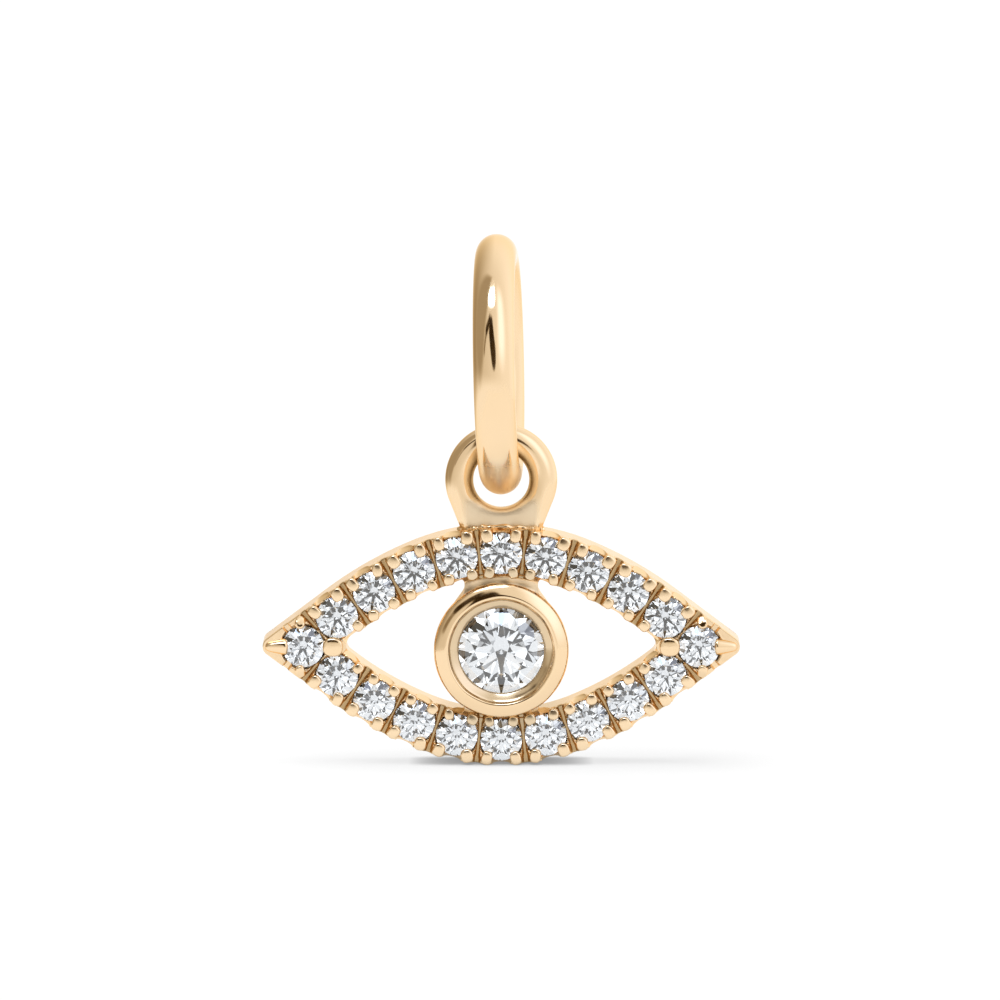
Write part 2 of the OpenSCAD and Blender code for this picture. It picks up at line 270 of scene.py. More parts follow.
def finish_piece(piece, finish, body="eye", node="eye_frame"):
    """Gives a piece its finish in a slot, ties it to a body, and hides the node that it stands
    for.
    """
    piece.data.materials.clear()
    piece.data.materials.append(finish)
    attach(piece, body)
    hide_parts(node)
    print(f"{piece.name}: {len(piece.data.polygons)} faces")


print("a quarter of the way up, a smooth step is at", ramp(0.25, 0, 1))

# %% [markdown]
# ## Nodes
# A material is a network of nodes. It could be clicked together, but in a script a few short
# helpers keep the network readable, and every finish below starts from them.

# %% Short ways to add nodes


def node_maker(tree):
    """A short way to add a shader node: its kind, its sockets' inputs and its settings."""

    def add(kind, inputs=None, **settings):
        node = tree.nodes.new("ShaderNode" + kind)
        for key, value in settings.items():
            setattr(node, key, value)
        for key, value in (inputs or {}).items():
            if isinstance(value, bpy.types.NodeSocket):
                tree.links.new(value, node.inputs[key])
            else:
                node.inputs[key].default_value = value
        return node

    return add


def rescaled(add, value, old, new=(0, 1), **settings):
    """A value moved from one range to another, and kept inside it."""
    ends = {"From Min": old[0], "From Max": old[1], "To Min": new[0], "To Max": new[1]}
    return add("MapRange", {"Value": value, **ends}, **settings).outputs["Result"]


def empty_finish(name):
    """A material with no nodes, a way to add them, and the place on a piece to start from."""
    finish = bpy.data.materials.new(name)
    finish.use_nodes = True
    finish.node_tree.nodes.clear()
    add = node_maker(finish.node_tree)
    return finish, add, add("TexCoord").outputs["Object"]


def drifting(add, place, scale, detail, tones):
    """Soft noise, and a colour that drifts between two tones with it."""
    cloud = add("TexNoise", {"Vector": place, "Scale": scale, "Detail": detail})
    noise = cloud.outputs["Fac"]
    tint = add("Mix", {0: noise, 6: tones[0], 7: tones[1]}, data_type="RGBA")
    return noise, tint.outputs[2]


print("materials so far:", len(bpy.data.materials))

# %% [markdown]
# ## Gold
# Yellow gold of 14 carats is a pale, warm metal. It is all reflection, so its base colour
# is the colour of the highlights. Faint polishing marks change the gloss a little from
# place to place, and a slight waviness keeps the reflections from looking ruled. The cut
# ground and the hidden sides are darkened with painted shade, and rubbed places are satin
# and paler with painted light. They could be other materials, but they fade into the rest.
# So three values painted on the meshes each mix in a colour and a roughness.

# %% The gold
GOLD_TONES = (0.955, 0.725, 0.465, 1), (0.930, 0.690, 0.425, 1)
GOLD_EDGE = (0.97, 0.82, 0.60, 1)
SHADE_LIGHT_AND_WEAR = [  # the painted value, and the colour and roughness where it is 1
    # painted shade on the grooves' ground, which is also duller
    ("recess", (0.46, 0.31, 0.14, 1), 0.32),
    # painted shade on inner sides and where gold faces gold
    ("shade", (0.54, 0.44, 0.30, 1), 0.22),
    # painted light: paler colour on satin places
    ("rub_and_light", (1.0, 0.82, 0.58, 1), 0.42),
]
CLOUD_SCALE, MARK_SCALE = 700.0, 5200.0  # per metre: drifts of tone, and polishing marks


def gold_finish(name, rough, wave):
    """Polished gold with a roughness that drifts by a third, and a wave of the given depth.

    A recess is the ground of the grooves: duller, and browner with painted shade. A shade
    is painted shade that greys the inner sides and the places where gold faces gold. A rub
    is satin and paler with painted light, as where two parts of the pendant touch, and on
    solder.
    """
    finish, add, place = empty_finish(name)
    cloud, colour = drifting(add, place, CLOUD_SCALE, 3.0, GOLD_TONES)
    marks = add("TexNoise", {"Vector": place, "Scale": MARK_SCALE, "Detail": 2.0})
    dull = rescaled(add, marks.outputs["Fac"], (0.3, 0.7), (rough * 0.75, rough * 1.35))
    for value, painted_colour, mixed_rough in SHADE_LIGHT_AND_WEAR:
        share = add("Attribute", attribute_name=value).outputs["Fac"]
        mixed = add("Mix", {0: share, 6: colour, 7: painted_colour}, data_type="RGBA")
        colour = mixed.outputs[2]
        dull = add("Mix", {0: share, 2: dull, 3: mixed_rough}).outputs[0]
    bump = add("Bump", {"Height": cloud, "Strength": 1.0, "Distance": wave * MM})
    shader = add("BsdfPrincipled", {
        "Base Color": colour, "Metallic": 1.0, "Specular Tint": GOLD_EDGE,
        "Roughness": dull, "Normal": bump.outputs["Normal"],
    })
    add("OutputMaterial", {"Surface": shader.outputs["BSDF"]})
    return finish


polished = gold_finish("polished gold", 0.09, 0.002)
cut_gold = gold_finish("cut gold", 0.14, 0.006)
print("finishes:", polished.name, "and", cut_gold.name)

# %% [markdown]
# ## The bail ring
# The ring that the chain runs through is a round wire, bent and soldered shut. Blender has
# a torus, but a circle carried round a circle is as short, and its points can lean and turn
# a little out of square, as a loose ring hangs. Low down the loop has rubbed it satin, and
# there it is paler with painted light, with a band of painted shade a little above the bottom.

# %% The bail ring
BAIL_D, BAIL_WIRE_D = 6.2, 0.98
BAIL_TURN, BAIL_LEAN = math.radians(2.5), math.radians(1.3)
RING_STEPS, WIRE_STEPS = 360, 120
RUB_AND_SHADE_UP = 1.0  # how far up the loop has rubbed the ring
# the band's painted shade, and the satin that is paler with painted light
BAND_SHADE, BAIL_SATIN_LIGHT = 0.35, 0.8


def ring_surface(ring_r, wire_r, n_ring, n_wire):
    """A ring in the xy plane: the wire's circle, at the ring's radius, carried round z."""
    a = full_turn(n_ring)[:, None]
    b = full_turn(n_wire)[None, :]
    r = ring_r + wire_r * np.cos(b)
    return np.stack([r * np.cos(a), r * np.sin(a), wire_r * np.sin(b) + 0 * a], -1)


def turned(points, axis, angle):
    """Points turned about the x, y or z axis, which is axis 0, 1 or 2."""
    i, j = [(1, 2), (2, 0), (0, 1)][axis]
    out = points.copy()
    c, s = math.cos(angle), math.sin(angle)
    out[..., i] = c * points[..., i] - s * points[..., j]
    out[..., j] = s * points[..., i] + c * points[..., j]
    return out


bail_points = ring_surface((BAIL_D - BAIL_WIRE_D) / 2, BAIL_WIRE_D / 2, RING_STEPS, WIRE_STEPS)
bail_points = turned(bail_points, 1, math.pi / 2)
bail_points = turned(bail_points, 2, -BAIL_TURN)
bail_points = turned(bail_points, 1, -BAIL_LEAN)
bail_points += middle("bail_ring")
bail = make_mesh("bail_wire", bail_points, grid_faces(RING_STEPS, WIRE_STEPS))
rub_and_shade_y = box_mm("bail_ring")[0][2] - eye_z + RUB_AND_SHADE_UP


def shade_band(place):
    """Painted shade: a grey band that rises and falls again on the way down past the rubbed
    height.
    """
    y = place[:, 1]
    grey = BAND_SHADE * ramp(y, rub_and_shade_y + 0.1, rub_and_shade_y - 0.2)
    return grey * ramp(y, rub_and_shade_y - 0.7, rub_and_shade_y - 0.4)


# painted shade in a band, then satin paler with painted light down to the bottom
paint(bail, "shade", shade_band)
paint(bail, "rub_and_light", lambda place: BAIL_SATIN_LIGHT * ramp(place[:, 1], rub_and_shade_y + 0.2, rub_and_shade_y - 0.4))
finish_piece(bail, polished, "bail", "bail_ring")

# %% [markdown]
# ## The edges of a lid
# The inner edge keeps one distance from the centre line and ends in a small round at the
# corner of the opening. The outer edge does the same, and then runs straight to a round
# nose. A thick curve could follow the lid, but not close its corners cleanly. So stations
# run along both edges, and spread round the corner like the sticks of a fan.

# %% Stations along the upper lid
SIDE_STATIONS = 262
CORNER_STATIONS = 104


def arc(centre, r, start, end, count=24):
    """Centre plus r times cos and sin of angles between start and end."""
    a = np.linspace(start, end, count)
    return np.array(centre) + r * np.stack([np.cos(a), np.sin(a)], -1)


def along_path(path, share):
    """Places at these shares of a path's length, straight between its points."""
    steps = np.hypot(*np.diff(path, axis=0).T)
    length = np.concatenate([[0], np.cumsum(steps)])
    want = np.asarray(share) * length[-1]
    return np.stack([np.interp(want, length, path[:, k]) for k in (0, 1)], -1)


def lid_edges():
    """Inner and outer edge of the upper lid, station by station from its left end."""
    last = stone_s[-1]
    side = np.linspace(0, last, SIDE_STATIONS)
    fan = np.linspace(0, 1, CORNER_STATIONS + 1)[1:]
    round_r = flank_r - half_w - OPENING_R
    opening_x = flank_c[0] + math.sqrt(round_r**2 - flank_c[1] ** 2)
    lean = math.acos(-flank_c[1] / round_r)
    touch_s = brow_s + flank_r * (lean - BROW_ANGLE)
    inner_path = np.concatenate([
        lid_point(np.linspace(last, touch_s, 8), -half_w),
        arc([opening_x, 0], OPENING_R, math.pi / 2 - lean, 0),
    ])
    shoulder = lid_point(last, half_w)
    nose = np.array([tip_x - TIP_R, 0])
    away = shoulder - nose
    touch = math.atan2(away[1], away[0]) - math.acos(TIP_R / np.hypot(*away))
    outer_path = np.concatenate([[shoulder], arc(nose, TIP_R, touch, 0)])
    edges = []
    for offset, path in ((-half_w, inner_path), (half_w, outer_path)):
        right = np.concatenate([lid_point(side, offset), along_path(path, fan)])
        edges.append(np.concatenate([right[:0:-1] * [-1, 1], right]))
    return edges


inner_edge, outer_edge = lid_edges()
print("stations along a lid:", len(inner_edge))

# %% [markdown]
# ## The relief on the front
# A setter cuts a seat for each stone, a groove between neighbours that widens towards the
# band's edges, and a notch beside each girdle. Each could be a Boolean modifier. Instead
# they are one height over the drawing, the lowest of the front and every cut, which is
# quick and leaves no slivers.

# %% Sizes of the cuts
GIRDLE_Z = FRONT - 0.03  # the upper side of a small stone's girdle
BEARING_Z = GIRDLE_Z - 0.055  # about where the seat's cone would reach the stone's rim
PAVILION_SLOPE = 0.86
GROOVE_W, GROOVE_DEPTH, GROOVE_FLARE = 0.15, 0.13, 0.6
CUT_END = (half_w + 0.3, half_w + 0.15)  # cuts die away outside the band
NOTCH_R, NOTCH_FLARE = 0.22, 1.6
NOTCH_START = (0.3, 0.34)  # from the stone's middle, outwards
LEDGE_ANGLE = math.radians(130)
LEDGE_DEPTH = 0.15
LEDGE_WIDE, LEDGE_START, LEDGE_END = (0.095, 0.06), (0.3, 0.4), (0.76, 0.70)
ROUND = 0.022  # of the edge between the front and the walls
chance = np.random.default_rng(7)
groove_deep = GROOVE_DEPTH * chance.uniform(0.85, 1.15, len(groove_sites))
groove_half = GROOVE_W / 2 * chance.uniform(0.9, 1.15, len(groove_sites))
print("grooves:", len(groove_sites), "down to", groove_deep.max().round(3), "mm")

# %% The height of the front


def seat_height(r):
    """The seat under a stone: a cone along its pavilion, a bearing and a bright bevel."""
    rim = stone_d / 2
    radii = [0, rim - 0.02, rim + 0.012, rim + 0.045, rim + 0.07, rim + 0.08]
    heights = [BEARING_Z - PAVILION_SLOPE * rim, BEARING_Z - 0.01, GIRDLE_Z - 0.03,
               GIRDLE_Z + 0.012, FRONT, FRONT + 1]
    return np.interp(r, radii, heights)


def groove_depth(points):
    """Depth of the grooves between stones: soft troughs that widen towards the edges."""
    deepest = np.zeros(points.shape[:-1])
    for k, site in enumerate(groove_sites):
        along, out = to_site(points, site)
        half = groove_half[k] * (1 + GROOVE_FLARE * ramp(np.abs(out), 0.25, half_w))
        cut = groove_deep[k] * ramp(np.abs(along), half, half * 0.35)
        cut *= ramp(np.abs(out), *CUT_END)
        if k in OUTER_ONLY:
            cut *= ramp(out, 0.0, 0.1)
        deepest = np.maximum(deepest, cut)
    return deepest


def relief(points):
    """Height of the metal over each place: the lowest of all the cuts.

    A notch is as deep as sqrt(r squared - along squared), times more further out. A ledge
    beside a corner claw is a flat strip with soft ends.
    """
    z = FRONT - groove_depth(points)
    for site in all_lid_sites:
        along, out = to_site(points, site)
        notch = np.sqrt(np.maximum(NOTCH_R**2 - along**2, 0))
        notch *= 1 + NOTCH_FLARE * ramp(np.abs(out), stone_d / 2, half_w)
        notch *= ramp(np.abs(out), *NOTCH_START) * ramp(np.abs(out), *CUT_END)
        z = np.minimum(z, FRONT - notch)
    for site in corner_sites:
        for side in (-1, 1):
            far, wide = to_site(points, site + [0, 0, side * LEDGE_ANGLE])
            cut = LEDGE_DEPTH * ramp(np.abs(wide), *LEDGE_WIDE)
            cut *= ramp(far, *LEDGE_START) * ramp(far, *LEDGE_END)
            z = np.minimum(z, FRONT - cut)
    for site in np.concatenate([all_lid_sites, corner_sites]):
        z = np.minimum(z, seat_height(np.hypot(*to_site(points, site))))
    return z


print("relief at the top stone's middle:", relief(np.array([[0, eye_h / 2]])).round(3))

# %% [markdown]
# ## The lids
# Each lid is one closed skin. At every station its section goes over the front from the
# inner edge to the outer, down the outer wall, back along the rear and up the inner wall.
# The light holes behind the stones go right through, which no height can tell, so they
# alone are cut by a Boolean modifier.

# %% The lids' skins
FRONT_STEPS = 92
WALL_STEPS = 6
BACK_STEPS = 10
EDGE_CROWDING = 0.45  # share of the front's steps that crowd towards its edges


def lid_surface(turn_round):
    """Section after section: a front with its relief, two walls, and a back with chamfers.

    A place is inner edge times 1 - v plus outer edge times v. At an edge the front drops by
    a quarter circle.
    """
    sign = -1 if turn_round else 1
    inner, outer = sign * inner_edge[:, None], sign * outer_edge[:, None]
    t = np.linspace(0, 1, FRONT_STEPS)
    crowded = (1 - np.cos(np.pi * t)) / 2
    v = ((1 - EDGE_CROWDING) * t + EDGE_CROWDING * crowded)[None, :, None]
    flat = inner * (1 - v) + outer * v
    width = np.linalg.norm(outer - inner, axis=-1)
    z = relief(flat)
    from_edge = np.minimum(v[..., 0], 1 - v[..., 0]) * width
    inside = np.clip(ROUND - from_edge, 0, ROUND)
    z = z - (ROUND - np.sqrt(ROUND**2 - inside**2))
    front = np.concatenate([flat, z[..., None]], -1)
    low = -FRONT + BACK_CHAMFER
    w = np.linspace(0, 1, WALL_STEPS + 1)[None, 1:]

    def wall(edge, top):
        """Straight down from the front's height to the back's chamfer."""
        level = top[:, None] * (1 - w) + low * w
        return np.concatenate([np.repeat(edge, WALL_STEPS, 1), level[..., None]], -1)

    outer_wall = wall(outer, z[:, -1])
    inner_wall = wall(inner, z[:, 0])[:, ::-1]
    share = BACK_CHAMFER / width[..., None]
    b = np.linspace(1, 0, BACK_STEPS)[None, :, None]
    b = share + (1 - 2 * share) * b
    back_flat = inner * (1 - b) + outer * b
    back = np.concatenate([back_flat, np.full(back_flat.shape[:2] + (1,), -FRONT)], -1)
    return np.concatenate([front, outer_wall, back, inner_wall], 1)


print("points round a lid's section:", FRONT_STEPS + 2 * WALL_STEPS + BACK_STEPS)

# %% Light holes
HOLE_R = 0.25
PIN_FOOT, PIN_TOP = -1.2, 0.6


def light_pins(rows, count=40):
    """Straight round pins through the seats, with two points at each angle of their circle."""
    a = full_turn(count)
    ring = HOLE_R * np.stack([np.cos(a), np.sin(a)], -1)
    flat = np.repeat(rows[:, None, None, :2] + ring[None, :, None], 2, 2)
    level = np.broadcast_to([[PIN_FOOT], [PIN_TOP]], flat.shape[:3] + (1,))
    return np.concatenate([flat, level], -1)


def many(faces, shells, size):
    """The same faces for each of many shells of one size."""
    return (faces[None] + size * np.arange(shells)[:, None, None]).reshape(-1, faces.shape[1])


def drill(piece, rows):
    """Cuts the pins out of a piece, and keeps the result as its mesh."""
    pins = light_pins(rows)
    count = pins.shape[1]
    size = 2 * count
    quads = many(grid_faces(count, 2, True, False), len(rows), size)
    starts = range(0, len(rows) * size, size)
    ends = [range(start + e, start + size, 2) for start in starts for e in (0, 1)]
    cutter = make_mesh("pins", hang(pins), quads, ends)
    cut = piece.modifiers.new("light holes", "BOOLEAN")
    cut.operation, cut.solver, cut.object = "DIFFERENCE", "MANIFOLD", cutter
    graph = bpy.context.evaluated_depsgraph_get()
    done = bpy.data.meshes.new_from_object(piece.evaluated_get(graph))
    piece.modifiers.clear()
    piece.data = done
    bpy.data.objects.remove(cutter)
    done.shade_smooth()
    done.set_sharp_from_angle(angle=math.radians(SMOOTH))


print("a light hole is", 2 * HOLE_R, "mm wide")

# %% The lids
# Painted shade: the grooves' ground browner with depth, and greyer near the bezel.
GROUND_DEPTH, GROOVE_SHADE = 0.09, 0.75  # a groove this deep is as brown as it gets
BEZEL_REACH, BEZEL_SIDE_SHADE = (2.15, 1.8), 0.6


def groove_shade(place):
    """Painted shade on the ground of the grooves on the front: their depth over the full one,
    up to 1.
    """
    flat = place[:, :2]
    on_front = np.abs(place[:, 2] - relief(flat)) < 0.05
    return GROOVE_SHADE * np.clip(groove_depth(flat) / GROUND_DEPTH, 0, 1) * on_front


def shade_near_bezel(place):
    """Painted shade, greyer towards the bezel, by the distance from the middle of the centre
    stone.
    """
    r = np.hypot(place[:, 0], place[:, 1] - bezel_y)
    return BEZEL_SIDE_SHADE * ramp(r, *BEZEL_REACH)


for name, turn_round in (("upper_lid", False), ("lower_lid", True)):
    points = lid_surface(turn_round)
    n_s, n_v = points.shape[:2]
    ends = [range(n_v), range((n_s - 1) * n_v, n_s * n_v)]
    lid = make_mesh(name, hang(points), grid_faces(n_s, n_v, False, True), ends)
    own = all_lid_sites[SPACES - 1:] if turn_round else all_lid_sites[: SPACES - 1]
    drill(lid, np.concatenate([own, corner_sites]))
    # painted shade in the grooves and near the bezel
    paint(lid, "recess", groove_shade)
    paint(lid, "shade", shade_near_bezel)
    finish_piece(lid, cut_gold)

# %% [markdown]
# ## Beads
# The beads that hold the stones are raised from the stubs between the cuts. From the front
# each one is a short tongue: it runs out nearly square to the wall and ends round over the
# stone, with its top pressed nearly flat. Balls would be simpler, but each would show a
# bright spot. A rounded block has a wide, even top and steep sides.

# %% The shape of a bead
BEAD_TOP = FRONT + 0.17
BEAD_FOOT = FRONT - 0.3
TIP_POWER, SIDE_POWER, TOP_POWER = 0.8, 0.75, 0.3


def tongues(rows, n_round=28, n_up=16):
    """Rounded blocks from rows of x, y, turn, half length, half width, top and fall.

    A place on a block is cos and sin of two angles, each raised to a power under one, which
    squares the block up. The top falls behind the tip, which points along the block's own x.
    """
    cx, cy, turns, half_l, half_wide, top, fall = rows.T[..., None, None]
    a = full_turn(n_round)[:, None]
    b = np.linspace(-np.pi / 2, np.pi / 2, n_up + 2)[None, 1:-1]
    flat_r = power(np.cos(b), TOP_POWER)
    x = power(np.cos(a), TIP_POWER) * flat_r
    y = power(np.sin(a), SIDE_POWER) * flat_r
    up = power(np.sin(b), TOP_POWER) + 0 * a
    mid = (top + BEAD_FOOT) / 2
    z = mid + (top - mid) * up
    z = z - fall * ramp(-x, -0.25, 1.0) * (up > 0) * up
    x, y = half_l * x, half_wide * y
    c, s = np.cos(turns), np.sin(turns)
    return np.stack([cx + c * x - s * y, cy + s * x + c * y, z], -1)


def domes(name, points, smooth_angle=60):
    """A piece of many blocks, each closed with a point at its bottom and its top."""
    count, n_round, n_up = points.shape[:3]
    size = n_round * n_up
    quads = many(grid_faces(n_round, n_up, True, False), count, size)
    poles = points.mean(1)[:, [0, -1]]
    ring = np.arange(n_round)
    fans = []
    for n in range(count):
        for end, pole in ((0, 2 * n), (n_up - 1, 2 * n + 1)):
            rim = n * size + ring * n_up + end
            tops = np.full(n_round, count * size + pole)
            fans += np.stack([rim, np.roll(rim, -1), tops], -1).tolist()
    whole = np.concatenate([points.reshape(-1, 3), poles.reshape(-1, 3)])
    piece = make_mesh(name, hang(whole), quads, fans, smooth_angle)
    finish_piece(piece, polished)
    return piece


print(f"a bead stands {BEAD_TOP - FRONT:.2f} mm over the band")

# %% Beads round the stones of the lids
# How far along from the stone's middle, the tip's reach over the girdle, and half the width.
OUTER_BEAD, INNER_BEAD = (0.345, 0.10, 0.145), (0.285, 0.09, 0.13)
BEAD_LEAN = math.radians(14)
BEAD_SATIN_LIGHT = 0.25


def bead_places():
    """Centre, turn, half length and half width of each bead round the lids' stones.

    A tip is at sqrt(stone's radius squared - a squared) less its reach. Next to a corner the
    large corner bead takes the inner bead's place.
    """
    rows = []
    for lid in (lid_sites, half_round(lid_sites)):
        for k, site in enumerate(lid):
            for along, out in ((-1, -1), (-1, 1), (1, -1), (1, 1)):
                if out < 0 and k == (0 if along < 0 else SPACES - 2):
                    continue
                a, reach, half_wide = OUTER_BEAD if out > 0 else INNER_BEAD
                tip = math.sqrt((stone_d / 2) ** 2 - a**2) - reach
                end = half_w + 0.004
                centre = from_site(along * a, out * (tip + end) / 2, site)
                turn = site[2] - out * math.pi / 2 - along * out * BEAD_LEAN
                rows.append([*centre, turn, (end - tip) / 2, half_wide])
    return np.array(rows)


beads = bead_places()
beads[:, 2] += chance.normal(0, 0.1, len(beads))
beads[:, 4] *= chance.uniform(0.9, 1.1, len(beads))
bead_tops = BEAD_TOP + chance.normal(0, 0.012, len(beads))
bead_falls = chance.uniform(0.0, 0.015, len(beads))
bead_points = tongues(np.column_stack([beads, bead_tops, bead_falls]))
bead_piece = domes("beads", bead_points)
# painted shade near the bezel, and satin that is paler with painted light
paint(bead_piece, "shade", shade_near_bezel)
paint(bead_piece, "rub_and_light", lambda place: BEAD_SATIN_LIGHT + 0 * place[:, 0])

# %% [markdown]
# ## Corners
# A corner stone is held by a broad claw at the point, a bead above and below, and one larger
# bead that also holds the two stones next to it. That bead could be placed by eye, but a
# formula gives the place that is equally far from all three. The claw grows thicker towards
# the stone, so it is an oval carried along a line and not one more block.

# %% Corner beads
CORNER_PRONG = math.radians(97)
PRONG_AWAY = 0.59  # from the corner stone's middle
PRONG_HALF_L, PRONG_HALF_W, PRONG_FALL = 0.15, 0.125, 0.12
PRONG_LEAN = math.radians(18)
BIG_BEAD_GRIP = 0.04  # how far the large bead reaches over the corner stone
next_stone = lid_sites[-1, :2]
bead_x = (next_stone @ next_stone - (eye_l / 2) ** 2) / (2 * (next_stone[0] - eye_l / 2))
bead_r = eye_l / 2 - bead_x - stone_d / 2 + BIG_BEAD_GRIP
corner_rows = []
for site in corner_sites:
    for side in (-1, 1):
        place = PRONG_AWAY * np.array([math.cos(CORNER_PRONG), side * math.sin(CORNER_PRONG)])
        turn = site[2] - side * (math.pi / 2 + PRONG_LEAN)
        shape = [PRONG_HALF_L, PRONG_HALF_W, BEAD_TOP, PRONG_FALL]
        corner_rows.append([*from_site(*place, site), turn, *shape])
    big = from_site(eye_l / 2 - bead_x, 0, site)
    corner_rows.append([*big, site[2], bead_r, bead_r * 0.92, BEAD_TOP + 0.01, 0.0])
domes("corner_beads", tongues(np.array(corner_rows)))

# %% Claws
CLAW_INSET = 0.05  # from the eye's point
CLAW_GRIP = 0.15  # how far the claw reaches over the corner stone
CLAW_Z = FRONT - 0.07
CLAW_BELOW = 1.2  # the half that is sunk in the lid is this much taller


def claw_surface(site, n_long=40, n_round=40):
    """A claw along the eye's long axis: an oval section that grows towards the stone.

    Half its width goes from 0.085 to 0.22 mm and its height from 0.12 to 0.24 mm. Both are
    shut at the blunt ends by sqrt(1 - (2t - 1) to the 11th).
    """
    t = np.linspace(0, 1, n_long)[:, None]
    a = full_turn(n_round)[None, :]
    start = tip_x - eye_l / 2 - CLAW_INSET
    along = t * (start - stone_d / 2 + CLAW_GRIP) - start
    shut = np.sqrt(np.clip(1 - np.abs(2 * t - 1) ** 11, 0, 1))
    out = (0.085 + 0.135 * t**0.7) * shut * np.cos(a)
    high = (0.12 + 0.12 * t**0.8) * shut
    z = CLAW_Z + np.where(np.sin(a) < 0, CLAW_BELOW, 1) * high * np.sin(a)
    flat = from_site(along + 0 * a, out, site)
    return np.concatenate([flat, z[..., None]], -1)


claw_points = np.stack([claw_surface(site)[1:-1].swapaxes(0, 1) for site in corner_sites])
domes("claws", claw_points)

# %% [markdown]
# ## The bezel
# The middle stone sits in a short tapered cup, and its rim is pushed over the girdle. The
# cup is one profile carried round a circle. A Bevel modifier gives all edges one radius.
# Here the profile's corners are cut again and again until they are round, as a polisher's
# wheel would leave them, and where points lie close an edge stays crisp.

# %% The bezel
BEZEL_PROFILE = [  # radius and height: up the outer wall, over the rim and down inside
    (0.66, -0.65), (1.385, -0.65), (1.597, 0.82), (1.607, 0.93), (1.578, 1.022), (1.50, 1.073),
    (1.41, 1.1215), (1.33, 1.158), (1.27, 1.155), (1.225, 1.09), (1.19, 1.06), (1.11, 1.015),
    (1.015, 0.955), (1.01, 0.90), (1.125, 0.83), (1.125, 0.775), (0.66, 0.36),
]
BEZEL_STEPS = 300
RIM_FOOT = 0.95  # above this height the rim is a little uneven
# painted shade on the cup's wall and on the lip
WALL_TOP, WALL_FOOT, WALL_SHADE = (0.88, 0.7), (-0.6, -0.2), 0.7
LIP_R, LIP_SHADE = (1.24, 1.18), 0.45


def cut_corners(points, times=3, share=0.2):
    """Corners cut off a closed path: each side keeps its middle and loses both its ends."""
    for _ in range(times):
        ahead = np.roll(points, -1, 0)
        cut = share * (ahead - points)
        points = np.stack([points + cut, ahead - cut], 1).reshape(-1, 2)
    return points


def revolved(profile, centre, count, wobble=0.0):
    """A profile of radius and height carried round a point.

    The unevenness of its rim is a sum of sines of 5, 8 and 13 times the angle.
    """
    a = full_turn(count)[:, None]
    uneven = np.sin(5 * a + 0.6) + 0.7 * np.sin(8 * a + 2.1) + 0.5 * np.sin(13 * a)
    r = profile[None, :, 0] + wobble * uneven * (profile[None, :, 1] > RIM_FOOT)
    z = profile[None, :, 1] + 0 * a
    return np.stack([centre[0] + r * np.cos(a), centre[1] + r * np.sin(a), z], -1)


outline = cut_corners(np.array(BEZEL_PROFILE))
bezel_points = revolved(outline, (0, bezel_y), BEZEL_STEPS, wobble=0.004)
bezel_faces = grid_faces(BEZEL_STEPS, len(outline))
bezel = make_mesh("bezel", hang(bezel_points), bezel_faces, smooth_angle=50)


def bezel_shade(place):
    """Painted shade, greyer on the cup's wall below the rim, and on the lip inside the rim."""
    r = np.hypot(place[:, 0], place[:, 1] - bezel_y)
    wall = ramp(place[:, 2], *WALL_TOP) * ramp(place[:, 2], *WALL_FOOT)
    return np.maximum(WALL_SHADE * wall, LIP_SHADE * ramp(r, *LIP_R))


paint(bezel, "shade", bezel_shade)
finish_piece(bezel, polished)

# %% [markdown]
# ## Bridges
# Two webs of solder join the cup to the lids, one above and one below. Blocks would fill
# the gaps, but solder draws in. So each web is a satin strip, paler with painted light, whose
# front is a shallow trough and whose sides are hollowed.

# %% Bridges
BRIDGE_W, BRIDGE_WAIST = 1.85, 0.05
CUP_FLARE, LID_FLARE = 0.30, 0.12  # how much further a side goes at the cup and at the lid
IN_CUP, IN_LID = 0.12, 0.1  # how far the web runs into the cup and into the lid
BRIDGE_Z, BRIDGE_BACK = FRONT - 0.2, -0.6
TROUGH = 0.16
BRIDGE_SATIN_LIGHT = 0.7
bezel_r = (eye_h - 2 * half_w) / 2 - 0.035


def web_surface(side, n_long=90, n_wide=22):
    """Strips across the gap, each with a front row and then a back row.

    A place is near times 1 - v plus far times v, from the cup's circle to the brow's. The
    trough and the sides go by (2v - 1) to the fourth.
    """
    u = np.linspace(-1, 1, n_long)[:, None]
    v = np.linspace(0, 1, n_wide)[None, :]
    hollow = (2 * v - 1) ** 2
    flare = np.where(v < 0.5, CUP_FLARE, LID_FLARE)
    x = u * (BRIDGE_W / 2 - BRIDGE_WAIST + flare * hollow**2)
    near = side * bezel_y + np.sqrt((bezel_r - IN_CUP) ** 2 - x**2)
    far = brow_c[1] + np.sqrt((BROW_R - half_w + IN_LID) ** 2 - x**2)
    y = side * (near * (1 - v) + far * v)
    bumps = 0.022 * np.sin(4 * x + 1) + 0.008 * np.sin(11 * x * side + 0.4)
    front = BRIDGE_Z + TROUGH * hollow**2 + bumps * (1 - hollow)
    rear = np.full_like(x, BRIDGE_BACK)
    ahead = np.stack([x, y, front], -1)
    behind = np.stack([x, y, rear], -1)[:, ::-1]
    return np.concatenate([ahead, behind], 1)


web_points = np.stack([web_surface(side) for side in (1, -1)])
n_long, n_loop = web_points.shape[1:3]
size = n_long * n_loop
quads = many(grid_faces(n_long, n_loop, False, True), 2, size)
i = np.arange(n_loop // 2 - 1)
end = np.stack([i, i + 1, n_loop - 2 - i, n_loop - 1 - i], -1)
ends = np.concatenate([end, end + size - n_loop, end + size, end + 2 * size - n_loop])
bridges = make_mesh("bridges", hang(web_points), np.concatenate([quads, ends]))
# satin that is paler with painted light
paint(bridges, "rub_and_light", lambda place: BRIDGE_SATIN_LIGHT + 0 * place[:, 0])
finish_piece(bridges, cut_gold)

